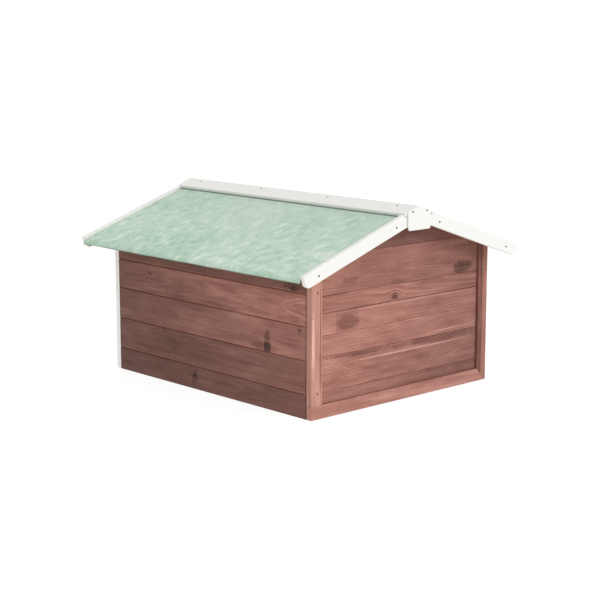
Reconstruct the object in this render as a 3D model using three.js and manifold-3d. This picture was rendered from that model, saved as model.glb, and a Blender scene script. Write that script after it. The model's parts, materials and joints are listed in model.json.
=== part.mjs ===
// Small timber hutch: a boarded box with a framed back, a white front frame with a wire-mesh door,
// and a felt-covered pitched roof that lifts as one lid. Millimetres, +Z up, front at -Y,
// origin under the middle of the roof's outline, at the underside of the walls.
import * as THREE from 'three';
import { mergeVertices } from 'three/addons/utils/BufferGeometryUtils.js';
import Module from 'manifold-3d';

const wasm = await Module();
wasm.setup();

// ---------- driving dimensions ----------
const WALL_WIDTH = 632;          // X, outside of the side boards
const WALL_DEPTH = 772;          // Y, outside of front frame to outside of back frame
const FRONT_OVERHANG = 60;       // roof past the front frame, to the face of the barge boards
const BACK_OVERHANG = 45;        // the same past the back frame
const SLOPE = THREE.MathUtils.degToRad(18.75);
const FELT_RIDGE = 482.5;        // height of the felt where its two slopes meet
const FELT_HALF = 384;           // half width over the felt at the eaves
const FELT_THICK = 2;
const EAVE_LIP = 9.8;            // height of felt turned down over the eave
const PANEL_THICK = 7.5;
const BARGE_WIDTH = 33;
const BARGE_THICK = 12.5;
const BARGE_RIDGE = 490.3;       // height of the barge boards' top edges where they meet
const BARGE_HALF = 382.5;        // top corner of a barge board's square-cut foot
const BARGE_CHAMFER = { along: 7, up: 8.5 };   // taken off the foot's lower corner
const CAP_EDGE = 49;             // half width over the two ridge caps
const CAP_THICK = 9;
const PLAQUE_THICK = 4;
const PLAQUE_HALF = 40.5;
const PLAQUE_FOOT = 433;
const PLAQUE_CHAMFER = { side: 4, up: 10 };
const BOARD_THICK = 11;
const BOARD_RECESS = 5.7;        // gable boards sit this far behind the frame's face
const SIDE_VEE = 2.6;            // chamfer on the edges of the side walls' boards
const BACK_VEE = 0.9;            // chamfer on the edges of the back's closer joints
const GAP = 0.3;                 // left between faces that touch
const BACK_POST = { width: 35, thick: 17 };
const BACK_RAIL_HEIGHT = 33;
const FRONT_POST = { width: 36, thick: 16.5 };
const SILL_HEIGHT = 40;
const LINTEL = { bottom: 340, top: 374 };
const BATTEN = { width: 40, thick: 24 };
const FLOOR = { bottom: 30.3, thick: 9 };
const BEARER = { size: 30, back: 210, front: -195 };
const BEAM = { half: 12, bottom: 440, frontGap: 30, backGap: 45 };
const SIDE_JOINTS = [0, 60, 142.5, 225, 303];
const BACK_JOINTS = [62, 146, 200, 252.5, 295, 390];
const DOOR = { clearance: 2.5, frame: 36, lift: 3 };
const MESH_PITCH = 25;
const MESH_WIRE = 1.8;
const LID_OPEN = THREE.MathUtils.degToRad(65);
const STAY_STOWED = THREE.MathUtils.degToRad(-50);

// ---------- derived places ----------
const tan = Math.tan(SLOPE);
const cos = Math.cos(SLOPE);
const sin = Math.sin(SLOPE);
const halfWidth = WALL_WIDTH / 2;
const roofEnd = (WALL_DEPTH + FRONT_OVERHANG + BACK_OVERHANG) / 2;
const back = roofEnd - BACK_OVERHANG;
const front = -roofEnd + FRONT_OVERHANG;
const bargeInner = roofEnd - BARGE_THICK;
const undersideRidge = FELT_RIDGE - (FELT_THICK + PANEL_THICK + GAP) / cos;
const wallRidge = undersideRidge - 0.4;
const underside = (x) => undersideRidge - tan * Math.abs(x);
const wallTop = (x) => wallRidge - tan * Math.abs(x);
const inner = halfWidth - BOARD_THICK;
const backPostFront = back - BACK_POST.thick;
const frontPostBack = front + FRONT_POST.thick;
const backBoardFace = back - BOARD_RECESS;
const frontBoardFace = front + BOARD_RECESS;

// ---------- materials ----------
const finish = (color, roughness, metalness = 0) =>
  new THREE.MeshStandardMaterial({ color, roughness, metalness });
const stainedPine = finish(0x8a5648, 0.75);
const whitePaint = finish(0xefefea, 0.5);
const rawPine = finish(0xc9a67c, 0.8);
const greenFelt = finish(0xa9c9b0, 0.95);
const zincSteel = finish(0xb9bcbd, 0.4, 0.9);

// ---------- making solids ----------
const hutch = new THREE.Group();

function addMesh(name, geometry, material) {
  const mesh = new THREE.Mesh(geometry, material);
  mesh.name = name;
  hutch.add(mesh);
}

function outline(points, holes = []) {
  const shape = new THREE.Shape(points.map(([a, b]) => new THREE.Vector2(a, b)));
  shape.holes.push(...holes);
  return shape;
}

function extrude(shape, depth) {
  return new THREE.ExtrudeGeometry(shape, { depth, bevelEnabled: false, curveSegments: 10 });
}

// An outline drawn in X and Z, run from y0 to y1.
function alongY(shape, y0, y1) {
  return extrude(shape, y1 - y0).rotateX(Math.PI / 2).translate(0, y1, 0);
}

// An outline drawn in Y and Z, run from x0 to x1.
function alongX(shape, x0, x1) {
  const basis = new THREE.Matrix4().makeBasis(
    new THREE.Vector3(0, 1, 0), new THREE.Vector3(0, 0, 1), new THREE.Vector3(1, 0, 0));
  return extrude(shape, x1 - x0).applyMatrix4(basis).translate(x0, 0, 0);
}

function alongZ(shape, z0, z1) {
  return extrude(shape, z1 - z0).translate(0, 0, z0);
}

function block(x0, x1, y0, y1, z0, z1) {
  return new THREE.BoxGeometry(x1 - x0, y1 - y0, z1 - z0)
    .translate((x0 + x1) / 2, (y0 + y1) / 2, (z0 + z1) / 2);
}

function circleHole(x, z, radius) {
  return new THREE.Path().absarc(x, z, radius, 0, 2 * Math.PI, true);
}

function toSolid(geometry) {
  const bare = geometry.clone();
  bare.deleteAttribute('normal');
  bare.deleteAttribute('uv');
  const merged = mergeVertices(bare, 1e-4);
  return new wasm.Manifold(new wasm.Mesh({
    numProp: 3,
    vertProperties: new Float32Array(merged.attributes.position.array),
    triVerts: new Uint32Array(merged.index.array),
  }));
}

function fromSolid(solid) {
  const { vertProperties, triVerts } = solid.getMesh();
  const geometry = new THREE.BufferGeometry();
  geometry.setAttribute('position', new THREE.BufferAttribute(new Float32Array(vertProperties), 3));
  geometry.setIndex(new THREE.BufferAttribute(new Uint32Array(triVerts), 1));
  geometry.computeVertexNormals();
  return geometry;
}

function join(...geometries) {
  return fromSolid(geometries.map(toSolid).reduce((sum, next) => sum.add(next)));
}

// A cylinder along Y or Z from one end to the other.
function rod(axis, centre, radius, from, to, sides = 16) {
  const geometry = new THREE.CylinderGeometry(radius, radius, to - from, sides);
  const middle = (from + to) / 2;
  if (axis === 'z') return geometry.rotateX(Math.PI / 2).translate(centre[0], centre[1], middle);
  return geometry.translate(centre[0], middle, centre[1]);
}

// The section of a tongued and grooved board as [depth behind the face, height], standing from
// bottom to top. The ends of a wall's run have no tongue or no groove.
function boardSection(bottom, top, vee, hasGroove, hasTongue) {
  const tongue = { near: 3.9, far: 7.1, height: 4.6 };
  const groove = { near: 3.6, far: 7.4, height: 5.2 };
  const lower = bottom + (hasGroove ? GAP / 2 : 0);
  const upper = top - (hasTongue ? GAP / 2 : 0);
  const points = [];
  if (hasGroove) {
    points.push([0, lower + vee], [vee, lower], [groove.near, lower], [groove.near, lower + groove.height]);
    points.push([groove.far, lower + groove.height], [groove.far, lower], [BOARD_THICK, lower]);
  } else {
    points.push([0, lower], [BOARD_THICK, lower]);
  }
  if (hasTongue) {
    points.push([BOARD_THICK, upper], [tongue.far, upper], [tongue.far, upper + tongue.height]);
    points.push([tongue.near, upper + tongue.height], [tongue.near, upper], [vee, upper], [0, upper - vee]);
  } else {
    points.push([BOARD_THICK, upper], [0, upper]);
  }
  return points;
}

// ---------- walls ----------
function sideWalls() {
  const y0 = frontPostBack + GAP;
  const y1 = backPostFront - 1;
  const tops = [...SIDE_JOINTS.slice(1), wallTop(halfWidth)];
  for (const [side, sign] of [['right', 1], ['left', -1]]) {
    SIDE_JOINTS.forEach((bottom, i) => {
      const section = boardSection(bottom, tops[i], SIDE_VEE, i > 0, i < SIDE_JOINTS.length - 1);
      const shape = outline(section.map(([d, z]) => [sign * (halfWidth - d), z]));
      addMesh(`side_board_${side}_${i + 1}`, alongY(shape, y0, y1), stainedPine);
    });
  }
}

function backWall() {
  const reach = halfWidth - BACK_POST.width - GAP;
  const bottoms = [BACK_RAIL_HEIGHT + GAP, ...BACK_JOINTS];
  const tops = [...BACK_JOINTS, wallRidge];
  const gable = outline([
    [-halfWidth, 0], [halfWidth, 0], [halfWidth, wallTop(halfWidth)], [0, wallRidge],
    [-halfWidth, wallTop(halfWidth)],
  ]);
  const gablePrism = toSolid(alongY(gable, back - 60, back + 10));
  bottoms.forEach((bottom, i) => {
    const section = boardSection(bottom, tops[i], BACK_VEE, i > 0, i < BACK_JOINTS.length);
    const board = alongX(outline(section.map(([d, z]) => [backBoardFace - d, z])), -reach, reach);
    addMesh(`back_board_${i + 1}`, fromSolid(toSolid(board).intersect(gablePrism)), stainedPine);
  });

  // The rail runs out to the right-hand corner under its post, and is mitred to the left-hand one.
  const cornerIn = halfWidth - BACK_POST.width;
  const rail = outline([
    [halfWidth, 0], [halfWidth, BACK_RAIL_HEIGHT],
    [-cornerIn, BACK_RAIL_HEIGHT], [-halfWidth + GAP, 0],
  ]);
  addMesh('back_bottom_rail', alongY(rail, backPostFront, back), stainedPine);

  const rightPost = outline([
    [cornerIn, BACK_RAIL_HEIGHT + GAP], [halfWidth, BACK_RAIL_HEIGHT + GAP],
    [halfWidth, wallTop(halfWidth)], [cornerIn, wallTop(cornerIn)],
  ]);
  addMesh('corner_post_back_right', alongY(rightPost, backPostFront, back), stainedPine);
  const leftPost = outline([
    [-halfWidth, 0.3 * GAP], [-cornerIn, BACK_RAIL_HEIGHT + GAP], [-cornerIn, wallTop(cornerIn)],
    [-halfWidth, wallTop(halfWidth)],
  ]);
  addMesh('corner_post_back_left', alongY(leftPost, backPostFront, back), stainedPine);
}

function frontFrame() {
  const jamb = halfWidth - FRONT_POST.width;
  for (const [side, sign] of [['right', 1], ['left', -1]]) {
    const post = outline([
      [sign * jamb, 0], [sign * halfWidth, 0],
      [sign * halfWidth, wallTop(halfWidth)], [sign * jamb, wallTop(jamb)],
    ]);
    addMesh(`corner_post_front_${side}`, alongY(post, front, frontPostBack), whitePaint);
  }
  const reach = jamb - GAP;
  addMesh('front_sill', block(-reach, reach, front, frontPostBack, 0, SILL_HEIGHT), whitePaint);
  addMesh('front_lintel', block(-reach, reach, front, frontPostBack, LINTEL.bottom, LINTEL.top), whitePaint);
  const foot = LINTEL.top + GAP;
  const gable = outline([
    [-reach, foot], [reach, foot], [reach, wallTop(reach)], [0, wallRidge], [-reach, wallTop(reach)],
  ]);
  addMesh('front_gable_board', alongY(gable, frontBoardFace, frontPostBack), stainedPine);
}

function innerFrame() {
  const x1 = inner - GAP;
  const x0 = x1 - BATTEN.width;
  const rows = [
    ['back', backPostFront - GAP - BATTEN.thick, backPostFront - GAP],
    ['front', frontPostBack + GAP, frontPostBack + GAP + BATTEN.thick],
  ];
  for (const [end, y0, y1] of rows) {
    for (const [side, sign] of [['right', 1], ['left', -1]]) {
      const shape = outline([
        [sign * x0, 0], [sign * x1, 0], [sign * x1, wallTop(x1)], [sign * x0, wallTop(x0)],
      ]);
      addMesh(`corner_batten_${end}_${side}`, alongY(shape, y0, y1), rawPine);
    }
  }

  // The floor fills the box and is notched round the four corner battens.
  const fx = inner - GAP;
  const nx = x0 - GAP;
  const fy0 = frontPostBack + GAP;
  const fy1 = backPostFront - GAP;
  const ny0 = fy0 + BATTEN.thick + GAP;
  const ny1 = fy1 - BATTEN.thick - GAP;
  const floor = outline([
    [-nx, fy0], [nx, fy0], [nx, ny0], [fx, ny0], [fx, ny1], [nx, ny1],
    [nx, fy1], [-nx, fy1], [-nx, ny1], [-fx, ny1], [-fx, ny0], [-nx, ny0],
  ]);
  addMesh('floor_panel', alongZ(floor, FLOOR.bottom, FLOOR.bottom + FLOOR.thick), rawPine);
  for (const [end, y] of [['back', BEARER.back], ['front', BEARER.front]]) {
    addMesh(`floor_bearer_${end}`, block(-fx, fx, y, y + BEARER.size, 0, FLOOR.bottom - GAP), rawPine);
  }
}

// ---------- roof lid ----------
function roofCovering() {
  const top = FELT_RIDGE - (FELT_THICK + GAP) / cos;
  const edge = FELT_HALF - FELT_THICK - GAP;
  const end = bargeInner - GAP;
  for (const [side, sign] of [['right', 1], ['left', -1]]) {
    const panel = outline([
      [sign * GAP / 2, top - tan * GAP / 2], [sign * edge, top - tan * edge],
      [sign * edge, underside(edge)], [sign * GAP / 2, underside(GAP / 2)],
    ]);
    addMesh(`roof_panel_${side}`, alongY(panel, -end, end), rawPine);
  }

  const rise = (x) => FELT_RIDGE - tan * x;
  const inside = FELT_HALF - FELT_THICK;
  const lip = rise(FELT_HALF) - EAVE_LIP;
  const half = [
    [FELT_HALF, rise(FELT_HALF)], [FELT_HALF, lip], [inside, lip], [inside, rise(inside) - FELT_THICK / cos],
  ];
  const mirrored = half.map(([x, z]) => [-x, z]).reverse();
  const felt = outline([[0, FELT_RIDGE], ...half, [0, FELT_RIDGE - FELT_THICK / cos], ...mirrored]);
  addMesh('roof_felt', alongY(felt, -end, end), greenFelt);

  const beamTop = undersideRidge - GAP;
  const { half: beamHalf, bottom: beamFoot } = BEAM;
  const shoulder = beamTop - beamHalf * tan;
  const beam = outline([
    [0, beamTop], [beamHalf, shoulder], [beamHalf, beamFoot], [-beamHalf, beamFoot], [-beamHalf, shoulder],
  ]);
  addMesh('ridge_beam', alongY(beam, frontPostBack + BEAM.frontGap, backPostFront - BEAM.backGap), rawPine);
}

// A barge board is notched at the top to let the ridge cap through, cut square across its foot,
// and has the foot's lower corner taken off.
function bargeBoards() {
  const drop = BARGE_WIDTH / cos;
  const topEdge = (x) => BARGE_RIDGE - tan * x;
  const notchSide = CAP_EDGE + GAP;
  const footTop = [BARGE_HALF, topEdge(BARGE_HALF)];
  const along = (d, down) => [footTop[0] - d * cos - down * sin, footTop[1] + d * sin - down * cos];
  const points = [
    [GAP / 2, BARGE_RIDGE - drop], [GAP / 2, FELT_RIDGE], [notchSide, FELT_RIDGE - tan * notchSide],
    [notchSide, topEdge(notchSide)], footTop, along(0, BARGE_WIDTH - BARGE_CHAMFER.up),
    along(BARGE_CHAMFER.along, BARGE_WIDTH),
  ];
  for (const [end, y0] of [['back', bargeInner], ['front', -roofEnd]]) {
    for (const [side, sign] of [['right', 1], ['left', -1]]) {
      const board = outline(points.map(([x, z]) => [sign * x, z]));
      addMesh(`barge_board_${end}_${side}`, alongY(board, y0, y0 + BARGE_THICK), whitePaint);
    }
  }
}

function ridgeTrim() {
  const low = FELT_RIDGE + GAP / cos;
  const high = low + CAP_THICK / cos;
  const edge = CAP_EDGE - CAP_THICK * sin;
  for (const [side, sign] of [['right', 1], ['left', -1]]) {
    const cap = outline([
      [sign * GAP / 2, low], [sign * edge, low - tan * edge],
      [sign * CAP_EDGE, high - tan * CAP_EDGE], [sign * GAP / 2, high],
    ]);
    addMesh(`ridge_cap_${side}`, alongY(cap, -roofEnd, roofEnd), whitePaint);
  }
  const shoulder = high - tan * PLAQUE_HALF;
  const corner = PLAQUE_FOOT + PLAQUE_CHAMFER.up;
  const plaque = outline([
    [0, high], [PLAQUE_HALF, shoulder], [PLAQUE_HALF, corner],
    [PLAQUE_HALF - PLAQUE_CHAMFER.side, PLAQUE_FOOT],
    [-PLAQUE_HALF + PLAQUE_CHAMFER.side, PLAQUE_FOOT], [-PLAQUE_HALF, corner], [-PLAQUE_HALF, shoulder],
  ]);
  const face = roofEnd + GAP;
  addMesh('ridge_plaque_back', alongY(plaque, face, face + PLAQUE_THICK), whitePaint);
  addMesh('ridge_plaque_front', alongY(plaque, -face - PLAQUE_THICK, -face), whitePaint);
}

// ---------- lid hinge ----------
const HINGE = { x: -319.2, z: 360.8, radius: 2.7, sheet: 1.2, leaf: 20, half: 350, knuckles: 14 };

// One leaf of a long hinge: a sheet beside the pin line, with every second knuckle on it. The leaf
// is drawn as if it ran along +U from the pin, with V across it, and placed by its own axes.
function lidHingeLeaf(u, v, sheetNear, first) {
  const place = (a, b) => [HINGE.x + u[0] * a + v[0] * b, HINGE.z + u[1] * a + v[1] * b];
  const strip = (from, to) => outline([
    place(from, sheetNear), place(to, sheetNear),
    place(to, sheetNear + HINGE.sheet), place(from, sheetNear + HINGE.sheet),
  ]);
  const pitch = 2 * HINGE.half / HINGE.knuckles;
  const parts = [alongY(strip(3.3, HINGE.leaf), -HINGE.half, HINGE.half)];
  for (let i = first; i < HINGE.knuckles; i += 2) {
    const y0 = -HINGE.half + i * pitch + 0.35;
    const y1 = y0 + pitch - 0.7;
    parts.push(rod('y', [HINGE.x, HINGE.z], HINGE.radius, y0, y1, 12));
    parts.push(alongY(strip(0.2, 3.6), y0, y1));
  }
  return join(...parts);
}

function lidHinge() {
  addMesh('lid_hinge_wall_leaf', lidHingeLeaf([0, -1], [1, 0], 1.6, 0), zincSteel);
  addMesh('lid_hinge_roof_leaf', lidHingeLeaf([-cos, -sin], [-sin, cos], 1.5, 1), zincSteel);
}

// ---------- lid stay ----------
function turned(point, centre, angle) {
  const [dx, dz] = [point[0] - centre[0], point[1] - centre[1]];
  const [c, s] = [Math.cos(angle), Math.sin(angle)];
  return [centre[0] + dx * c - dz * s, centre[1] + dx * s + dz * c];
}

function lidStay() {
  const pivot = [-130, 410];
  const reach = 210;
  const bladeHalf = 8;
  const y0 = backPostFront - 38;
  const y1 = y0 + 3;
  const bladeEnd = pivot[1] - reach;

  const blade = new THREE.Shape();
  blade.absarc(pivot[0], pivot[1], bladeHalf, 0, Math.PI, false);
  blade.absarc(pivot[0], bladeEnd, bladeHalf, Math.PI, 2 * Math.PI, false);
  blade.holes.push(circleHole(pivot[0], bladeEnd, 4.5));
  const pin = rod('y', pivot, 3, y1 - 1, y1 + 6.5);
  addMesh('lid_stay_arm', join(alongY(blade, y0, y1), pin), zincSteel);

  const bracket = outline([
    [pivot[0] - 12, pivot[1] - 10], [pivot[0] + 12, pivot[1] - 10],
    [pivot[0] + 12, underside(pivot[0] + 12) - GAP], [pivot[0] - 12, underside(pivot[0] - 12) - GAP],
  ], [circleHole(pivot[0], pivot[1], 3.3)]);
  addMesh('lid_stay_bracket', alongY(bracket, y1 + 0.5, y1 + 6.5), zincSteel);

  // The peg stands where the stay's hole comes when the lid is open and the stay is swung to its end.
  const holeInLid = turned([pivot[0], bladeEnd], pivot, STAY_STOWED);
  const peg = turned(holeInLid, [HINGE.x, HINGE.z], LID_OPEN);
  const wall = backBoardFace - BOARD_THICK - GAP;
  const plate = block(peg[0] - 12, peg[0] + 12, wall - 3, wall, peg[1] - 14, peg[1] + 10);
  addMesh('lid_stay_peg', join(plate, rod('y', peg, 2.5, y0 - 2, wall - 2)), zincSteel);
}

// ---------- door ----------
const doorHalf = halfWidth - FRONT_POST.width - DOOR.clearance;
const doorBottom = SILL_HEIGHT + DOOR.lift;
const doorTop = LINTEL.bottom - DOOR.lift;
const doorBack = frontPostBack - GAP;
const DOOR_HINGE = { x: halfWidth - FRONT_POST.width - DOOR.clearance / 2, y: front - 3.2, radius: 2.6 };

function doorFrame() {
  const frame = DOOR.frame;
  for (const [side, sign] of [['right', 1], ['left', -1]]) {
    const [x0, x1] = [sign * doorHalf, sign * (doorHalf - frame)].sort((a, b) => a - b);
    addMesh(`door_stile_${side}`, block(x0, x1, front, doorBack, doorBottom, doorTop), whitePaint);
  }
  const reach = doorHalf - frame - GAP;
  addMesh(
    'door_rail_bottom', block(-reach, reach, front, doorBack, doorBottom, doorBottom + frame), whitePaint);
  addMesh('door_rail_top', block(-reach, reach, front, doorBack, doorTop - frame, doorTop), whitePaint);

  // Welded mesh, let into the middle of the frame's thickness between stiles and rails.
  const [x1, z0, z1] = [reach, doorBottom + frame + GAP, doorTop - frame - GAP];
  const middle = (front + doorBack) / 2;
  const [y0, y1] = [middle - MESH_WIRE / 2, middle + MESH_WIRE / 2];
  const columns = Math.round(2 * x1 / MESH_PITCH);
  const rows = Math.round((z1 - z0) / MESH_PITCH);
  const wires = [];
  for (let i = 0; i <= columns; i++) {
    const x = -x1 + i * (2 * x1 - MESH_WIRE) / columns;
    wires.push(block(x, x + MESH_WIRE, y0, y1, z0, z1));
  }
  for (let j = 0; j <= rows; j++) {
    const z = z0 + j * (z1 - z0 - MESH_WIRE) / rows;
    wires.push(block(-x1, x1, y0, y1, z, z + MESH_WIRE));
  }
  addMesh('door_mesh', join(...wires), zincSteel);
}

// A butt hinge on the faces of post and door: the post's leaf carries the end knuckles,
// and the door's leaf the middle one.
function doorHinges() {
  const { x, y, radius } = DOOR_HINGE;
  const half = 25;
  const [near, far] = [front - GAP - 1.2, front - GAP];
  const thirds = [-half, -half / 3, half / 3, half];
  for (const [level, z] of [['lower', 95], ['upper', 285]]) {
    const leafParts = (sign, spans) => [
      block(...[x + sign * 3.2, x + sign * 22].sort((a, b) => a - b), near, far, z - half, z + half),
      ...spans.flatMap(([a, b]) => [
        rod('z', [x, y], radius, z + a + 0.25, z + b - 0.25, 14),
        block(...[x, x + sign * 3.6].sort((p, q) => p - q), near, far, z + a + 0.25, z + b - 0.25),
      ]),
    ];
    const post = leafParts(1, [[thirds[0], thirds[1]], [thirds[2], thirds[3]]]);
    addMesh(`door_hinge_post_leaf_${level}`, join(...post), zincSteel);
    addMesh(`door_hinge_door_leaf_${level}`, join(...leafParts(-1, [[thirds[1], thirds[2]]])), zincSteel);
  }
}

function doorFittings() {
  const knob = new THREE.LatheGeometry(
    [[0, 0], [6, 0], [5, 5], [9, 11], [10, 15], [7, 19], [0, 20]].map(([r, h]) => new THREE.Vector2(r, h)), 20);
  knob.rotateX(Math.PI).translate(-doorHalf + DOOR.frame / 2, front - GAP, 180);
  addMesh('door_knob', knob, whitePaint);

  // The turn button hangs on its screw beside the door, and swings up a quarter turn across it.
  const [x, z] = [-halfWidth + FRONT_POST.width / 2, 262];
  const button = new THREE.Shape();
  button.absarc(x, z, 8, 0, Math.PI, false);
  button.absarc(x, z - 34, 8, Math.PI, 2 * Math.PI, false);
  addMesh('door_turn_button', alongY(button, front - GAP - 6.5, front - GAP - 0.5), whitePaint);
}

sideWalls();
backWall();
frontFrame();
innerFrame();
roofCovering();
bargeBoards();
ridgeTrim();
lidHinge();
lidStay();
doorFrame();
doorHinges();
doorFittings();

export default hutch;
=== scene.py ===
"""A small timber hutch under a felt roof: its finishes and fixings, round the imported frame."""

import json
import math

import bmesh
import bpy
from mathutils import Matrix, Vector


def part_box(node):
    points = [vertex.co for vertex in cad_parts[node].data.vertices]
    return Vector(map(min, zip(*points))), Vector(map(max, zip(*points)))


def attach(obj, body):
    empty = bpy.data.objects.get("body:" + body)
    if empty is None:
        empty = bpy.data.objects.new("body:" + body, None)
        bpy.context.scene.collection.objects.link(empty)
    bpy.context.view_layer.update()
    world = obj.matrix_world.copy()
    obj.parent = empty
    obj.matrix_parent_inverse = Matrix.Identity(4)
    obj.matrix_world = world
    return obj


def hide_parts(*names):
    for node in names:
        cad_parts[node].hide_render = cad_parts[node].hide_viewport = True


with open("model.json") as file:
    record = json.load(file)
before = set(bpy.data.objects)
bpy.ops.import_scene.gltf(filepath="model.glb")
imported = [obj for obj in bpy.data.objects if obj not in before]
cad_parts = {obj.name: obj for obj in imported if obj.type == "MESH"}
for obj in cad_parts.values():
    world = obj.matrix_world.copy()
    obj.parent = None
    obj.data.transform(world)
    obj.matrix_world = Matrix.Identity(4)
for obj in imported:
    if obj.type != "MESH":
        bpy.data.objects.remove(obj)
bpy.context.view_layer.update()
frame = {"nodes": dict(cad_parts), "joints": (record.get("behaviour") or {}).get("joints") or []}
nodes = frame["nodes"]

# ---------------------------------------------------------------------------
# Side walls. Five softwood boards a side, tongued together with a V along each joint, planed and
# dipped in a thin red-brown stain. They are nailed from inside to the corner battens.
# ---------------------------------------------------------------------------


class Socket:
    """One output in a material's nodes; arithmetic on it adds the nodes that work it out."""

    def __init__(self, tree, output=None):
        self.tree = tree
        self.output = output

    def node(self, kind, inputs=None, output=0, stops=(), **settings):
        made = self.tree.nodes.new(kind)
        for name, value in settings.items():
            setattr(made, name, value)
        for index, (place, colour) in enumerate(stops):
            ramp = made.color_ramp.elements
            stop = ramp[index] if index < 2 else ramp.new(place)
            stop.position = place
            stop.color = (*colour, 1.0)
        for name, value in (inputs or {}).items():
            if isinstance(value, Socket):
                self.tree.links.new(value.output, made.inputs[name])
            else:
                made.inputs[name].default_value = value
        return Socket(self.tree, None if output is None else made.outputs[output])

    def outlet(self, name):
        return Socket(self.tree, self.output.node.outputs[name])

    def maths(self, operation, first, second=0.0):
        return self.node("ShaderNodeMath", {0: first, 1: second}, operation=operation)

    def __add__(self, other):
        return self.maths("ADD", self, other)

    def __radd__(self, other):
        return self.maths("ADD", other, self)

    def __sub__(self, other):
        return self.maths("SUBTRACT", self, other)

    def __rsub__(self, other):
        return self.maths("SUBTRACT", other, self)

    def __mul__(self, other):
        return self.maths("MULTIPLY", self, other)

    def __rmul__(self, other):
        return self.maths("MULTIPLY", other, self)

    def __truediv__(self, other):
        return self.maths("DIVIDE", self, other)

    def root(self):
        return self.maths("SQRT", self)

    def absolute(self):
        return self.maths("ABSOLUTE", self)

    def past(self, edge):
        """1 beyond the edge and 0 before it."""
        return self.maths("GREATER_THAN", self, edge)

    def most(self, other):
        return self.maths("MAXIMUM", self, other)

    def least(self, other):
        return self.maths("MINIMUM", self, other)

    def ease(self, start, end):
        """Goes smoothly from 0 at start to 1 at end; start may be the larger."""
        limits = {"Value": self, "From Min": start, "From Max": end}
        return self.node("ShaderNodeMapRange", limits, interpolation_type="SMOOTHSTEP")

    def mix(self, first, second):
        """The first colour where this is 0, and the second where it is 1."""
        colours = {0: self, 6: first, 7: second}
        return self.node("ShaderNodeMix", colours, output=2, data_type="RGBA")

    def shaded(self, amount):
        """This colour made darker or lighter by a number."""
        return self.node("ShaderNodeVectorMath", {0: self, "Scale": amount}, operation="SCALE")


class Finish:
    """A new material on millimetre coordinates, turned about Y so that a sloping board lies level."""

    def __init__(self, name, turn=0.0):
        self.material = bpy.data.materials.new(name)
        self.material.use_nodes = True
        tree = self.material.node_tree
        tree.nodes.clear()
        self.start = Socket(tree)
        place = self.start.node("ShaderNodeTexCoord", output="Object")
        scaled = {"Vector": place, "Rotation": (0.0, turn, 0.0), "Scale": (1000.0, 1000.0, 1000.0)}
        self.place = self.start.node("ShaderNodeMapping", scaled)
        parts = self.start.node("ShaderNodeSeparateXYZ", {0: self.place})
        self.axes = [parts.outlet(axis) for axis in "XYZ"]

    def noise(self, sizes, detail=2.0, seed=0.0):
        """Smooth noise about 0, from -0.5 to 0.5, with features of these sizes in mm."""
        scale = tuple(1.0 / size for size in sizes)
        stretched = {"Vector": self.place, "Scale": scale, "Location": (seed, seed * 0.7, seed * 0.3)}
        vector = self.start.node("ShaderNodeMapping", stretched)
        settings = {"Vector": vector, "Scale": 1.0, "Detail": detail, "Roughness": 0.55}
        return self.start.node("ShaderNodeTexNoise", settings) - 0.5

    def close(self, colour, roughness, height, depth_mm, strength=0.5, metallic=0.0, gloss=0.5):
        """Joins the finished colour, roughness and relief to a surface and returns the material."""
        bump = {"Height": height, "Distance": depth_mm / 1000.0, "Strength": strength}
        surface = {
            "Base Color": colour,
            "Roughness": roughness,
            "Normal": self.start.node("ShaderNodeBump", bump),
            "Metallic": metallic,
            "Specular IOR Level": gloss,
        }
        shader = self.start.node("ShaderNodeBsdfPrincipled", surface)
        self.start.node("ShaderNodeOutputMaterial", {"Surface": shader}, output=None)
        return self.material


def reach(name, turn=0.0):
    """A CAD node's lowest and highest corner in mm, as its finish sees them when turned about Y."""
    spun = Matrix.Rotation(turn, 3, "Y")
    points = [spun @ vertex.co * 1000.0 for vertex in nodes[name].data.vertices]
    low = [min(point[axis] for point in points) for axis in range(3)]
    high = [max(point[axis] for point in points) for axis in range(3)]
    return low, high


STAIN = [
    (0.0, (0.052, 0.018, 0.013)),
    (0.28, (0.185, 0.072, 0.053)),
    (0.5, (0.312, 0.134, 0.103)),
    (0.74, (0.455, 0.228, 0.178)),
    (1.0, (0.640, 0.390, 0.312)),
]
# Width of the painted shade at both board ends, for the gaps beside the posts.
END_SHADE_WIDTH = 4.0
FLANK_DEPTH = 0.7


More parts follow.
